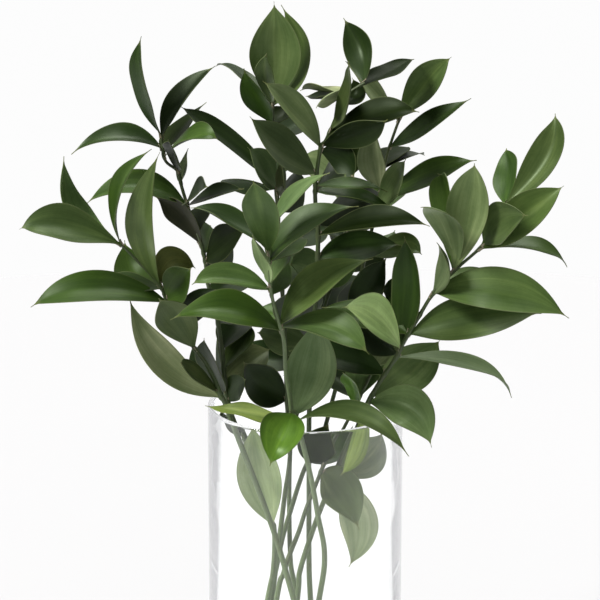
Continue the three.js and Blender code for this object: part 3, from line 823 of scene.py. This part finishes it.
def stalk_piece(name, curve, roots, green, material):
    """A tapered tube along the curve, swollen a little at each node that carries a leaf."""
    bm = bmesh.new()
    green_layer = bm.verts.layers.float_color.new("green")
    rings = len(curve) - 1
    bmesh.ops.create_cone(
        bm, cap_ends=True, segments=STALK_SIDES, radius1=1, radius2=1, depth=rings)
    sides = [edge for edge in bm.edges if abs(edge.verts[0].co.z - edge.verts[1].co.z) > 0.5]
    bmesh.ops.subdivide_edges(bm, edges=sides, cuts=rings - 1, use_grid_fill=True)
    for vertex in bm.verts:
        ring = round(vertex.co.z + rings / 2)
        centre = curve[ring]
        along = (curve[min(ring + 1, rings)] - curve[max(ring - 1, 0)]).normalized()
        side = along.cross(SHEET_OUT).normalized()
        front = side.cross(along)
        radius = STALK_FOOT_RADIUS + (STALK_TIP_RADIUS - STALK_FOOT_RADIUS) * ring / rings
        nearest = min((centre - root).length for root in roots)
        radius *= 1 + NODE_SWELL * max(0.0, 1 - nearest / NODE_LENGTH)
        offset = side * vertex.co.x * radius + front * vertex.co.y * radius
        vertex.co = centre + offset
        if ring == 0:
            vertex.co.z = VASE_FLOOR + STALK_FOOT_GAP
        share = min(1, 2 * ring / rings)
        vertex[green_layer] = (*Vector(GREENS[FOOT_GREEN]).lerp(Vector(GREENS[green]), share), 1)
    bmesh.ops.recalc_face_normals(bm, faces=bm.faces)
    return finished(name, bm, material, crease=60)


def bracts_piece(name, leaves, curve, material):
    """A small dry scale under each leaf, pressed to the stalk and pointing up it."""
    bm = bmesh.new()
    for leaf in leaves:
        root = leaf["root"]
        spot = min(range(len(curve)), key=lambda i: (curve[i] - root).length)
        along = (curve[min(spot + 1, len(curve) - 1)] - curve[max(spot - 1, 0)]).normalized()
        outward = leaf["tip"] - root
        outward = (outward - along * outward.dot(along)).normalized()
        side = along.cross(outward)
        made = bmesh.ops.create_grid(bm, x_segments=2, y_segments=4, size=1)
        for vertex in made["verts"]:
            x = vertex.co.x
            s = (vertex.co.y + 1) / 2
            half = BRACT_WIDTH / 2 * (1 - s) ** 0.7 + 0.1 * MM
            height = BRACT_LENGTH * (s - 0.35)
            stand = STALK_FOOT_RADIUS * (0.8 + 0.5 * s * s - 0.35 * x * x)
            vertex.co = root + along * height + side * x * half + outward * stand
        faces = list({face for vertex in made["verts"] for face in vertex.link_faces})
        bmesh.ops.solidify(bm, geom=faces, thickness=0.15 * MM)
    bmesh.ops.recalc_face_normals(bm, faces=bm.faces)
    return finished(name, bm, material, crease=60)


def arc(radius, height, size, start, end, steps):
    """Points of a round edge in the vase's profile, at angles in degrees from straight outwards."""
    angles = [radians(start + (end - start) * i / steps) for i in range(steps + 1)]
    return [(radius + size * cos(angle), height + size * sin(angle)) for angle in angles]


def vase_piece(material):
    inner = VASE_RADIUS - VASE_WALL
    rim = VASE_WALL / 2
    profile = [
        (0, 0),
        *arc(VASE_RADIUS - FOOT_BEVEL, FOOT_BEVEL, FOOT_BEVEL, -90, 0, FILLET_STEPS),
        *arc(VASE_RADIUS - rim, VASE_HEIGHT - rim, rim, 0, 180, RIM_STEPS),
        *arc(inner - INNER_FILLET, VASE_FLOOR + INNER_FILLET, INNER_FILLET, 0, -90, FILLET_STEPS),
        (0, VASE_FLOOR),
    ]
    bm = bmesh.new()
    corners = [bm.verts.new((radius, 0, height)) for radius, height in profile]
    edges = [bm.edges.new(pair) for pair in zip(corners, corners[1:])]
    bmesh.ops.spin(
        bm, geom=corners + edges, cent=(0, 0, 0), axis=(0, 0, 1), dvec=(0, 0, 0), angle=tau,
        steps=VASE_SIDES, use_merge=True, use_duplicate=False)
    bmesh.ops.remove_doubles(bm, verts=bm.verts, dist=1e-6)
    bmesh.ops.recalc_face_normals(bm, faces=bm.faces)
    return finished("vase_of_glass", bm, material, crease=40)


# ------------------------------------------------------------------ the arrangement

LEAF = leaf_material()
STALK = stalk_material()
BRACT = bract_material()

arrangement = []
for stem_index, (node, stem) in enumerate(STEMS.items()):
    foot = Vector((stem["foot"][0] * MM, stem["foot"][1] * MM, VASE_FLOOR + STALK_FOOT_GAP))
    points = [foot, *(place(*spot) for spot in stem["route"])]
    curve = catmull_rom(points, STALK_RINGS_PER_SPAN)
    corners = corner_tree(node)
    wanted = [near_leaf(points, row) for row in stem["leaves"]]
    wanted += [far_leaf(points, stem["far"], i, stem_index) for i in range(stem["far"][2])]
    leaves = [leaf for leaf in (as_packed(leaf, corners) for leaf in wanted) if leaf]
    for leaf in leaves:
        leaf["root"] = min(curve, key=lambda spot: (spot - leaf["root"]).length)
    rng = random.Random(node)
    blades = [Blade(leaf, number, rng) for number, leaf in enumerate(leaves)]
    arrangement.append((node, stem, curve, leaves, blades))

every_blade = [blade for *_, blades in arrangement for blade in blades]
for share in EASING:
    for blade in meeting(every_blade):
        blade.kept = share

for node, stem, curve, leaves, blades in arrangement:
    roots = [leaf["root"] for leaf in leaves]
    short = node.removeprefix("stem_")
    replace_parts(leaves_piece(f"leaves_{short}", blades, LEAF), node)
    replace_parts(stalk_piece(f"stalk_{short}", curve, roots, stem["stalk"], STALK), node)
    bracts_piece(f"bracts_{short}", leaves, curve, BRACT)

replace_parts(vase_piece(glass_material()), "glass_vase")

# ------------------------------------------------------------------ floor, light and camera

FLOOR_RADIUS = 1.4

BACKDROP = (0.98, 0.98, 0.98, 1)
DIM_ROOM = (0.17, 0.17, 0.165, 1)
LIT_ROOM = (0.42, 0.42, 0.41, 1)
GREY_BAND = (0.6, 0.6, 0.6, 1)
DARK_FRONT = (0.3, 0.3, 0.3, 1)

FILM_WIDTH = 36
LENS_LENGTH = 218.4

# Light that is caught in the wall of the vase needs many bounces, or the glass turns dark.
LIGHT_BOUNCES = 64


def floor_piece():
    bm = bmesh.new()
    bmesh.ops.create_circle(bm, cap_ends=True, segments=96, radius=FLOOR_RADIUS)
    mesh = bpy.data.meshes.new("floor")
    bm.to_mesh(mesh)
    bm.free()
    mesh.materials.append(floor_material())
    floor = bpy.data.objects.new("floor", mesh)
    bpy.context.scene.collection.objects.link(floor)


def soft_sun(name, coming_from, strength, softness, colour):
    """A far, even light from the given direction. Its softness is its breadth in degrees."""
    light = bpy.data.lights.new(name, "SUN")
    light.energy = strength
    light.angle = radians(softness)
    light.color = colour
    lamp = bpy.data.objects.new(name, light)
    lamp.rotation_mode = "QUATERNION"
    lamp.rotation_quaternion = Vector(coming_from).to_track_quat("Z", "Y")
    bpy.context.scene.collection.objects.link(lamp)


def daylight():
    """White to the eye. Through the glass it has a grey band at the left and a darker front, which
    draw the glass's edges. It lights the leaves from above and behind, and hardly from the front."""
    world = bpy.data.worlds.new("daylight")
    world.use_nodes = True
    nodes, links = world.node_tree.nodes, world.node_tree.links
    back = nodes["Background"]
    coords = nodes.new("ShaderNodeTexCoord")
    split = nodes.new("ShaderNodeSeparateXYZ")
    links.new(coords.outputs["Generated"], split.inputs[0])
    behind = map_range(nodes, links, split.outputs["Y"], -0.3, 0.7, 0.0, 1.0)
    overhead = map_range(nodes, links, split.outputs["Z"], 0.2, 0.9, 0.0, 1.0)
    lit_side = math_node(nodes, links, "MAXIMUM", behind, overhead)
    room = mix(nodes, links, "MIX", lit_side, DIM_ROOM, LIT_ROOM)
    left = map_range(nodes, links, split.outputs["X"], -0.10, -0.22, 0.0, 1.0)
    far_left = map_range(nodes, links, split.outputs["X"], -0.28, -0.5, 1.0, 0.0)
    grey_side = math_node(nodes, links, "MULTIPLY", left, far_left)
    in_front = map_range(nodes, links, split.outputs["Y"], 0.0, -0.5, 0.0, 1.0)
    banded = mix(nodes, links, "MIX", grey_side, BACKDROP, GREY_BAND)
    in_glass = mix(nodes, links, "MIX", in_front, banded, DARK_FRONT)
    ray = nodes.new("ShaderNodeLightPath")
    through = math_node(nodes, links, "MINIMUM", ray.outputs["Transmission Depth"], 1.0)
    clear = math_node(nodes, links, "MAXIMUM", ray.outputs["Is Singular Ray"], through)
    around = mix(nodes, links, "MIX", clear, room, in_glass)
    seen = mix(nodes, links, "MIX", ray.outputs["Is Camera Ray"], around, BACKDROP)
    links.new(seen, back.inputs["Color"])
    bpy.context.scene.world = world


def camera():
    data = bpy.data.cameras.new("camera")
    data.sensor_width = FILM_WIDTH
    data.lens = LENS_LENGTH
    eye = bpy.data.objects.new("camera", data)
    eye.location = EYE
    eye.rotation_mode = "QUATERNION"
    eye.rotation_quaternion = (-SHEET_OUT).to_track_quat("-Z", "Y")
    bpy.context.scene.collection.objects.link(eye)
    bpy.context.scene.camera = eye


floor_piece()
daylight()
soft_sun("key_light", (-0.8, -0.4, 0.8), 3.0, 20, (1.0, 0.99, 0.95))
soft_sun("top_light", (0.1, 0.4, 1.0), 1.9, 40, (1.0, 0.99, 0.96))
camera()

bpy.context.scene.view_settings.view_transform = "Standard"
bpy.context.scene.cycles.max_bounces = LIGHT_BOUNCES
bpy.context.scene.cycles.glossy_bounces = LIGHT_BOUNCES
bpy.context.scene.cycles.transmission_bounces = LIGHT_BOUNCES
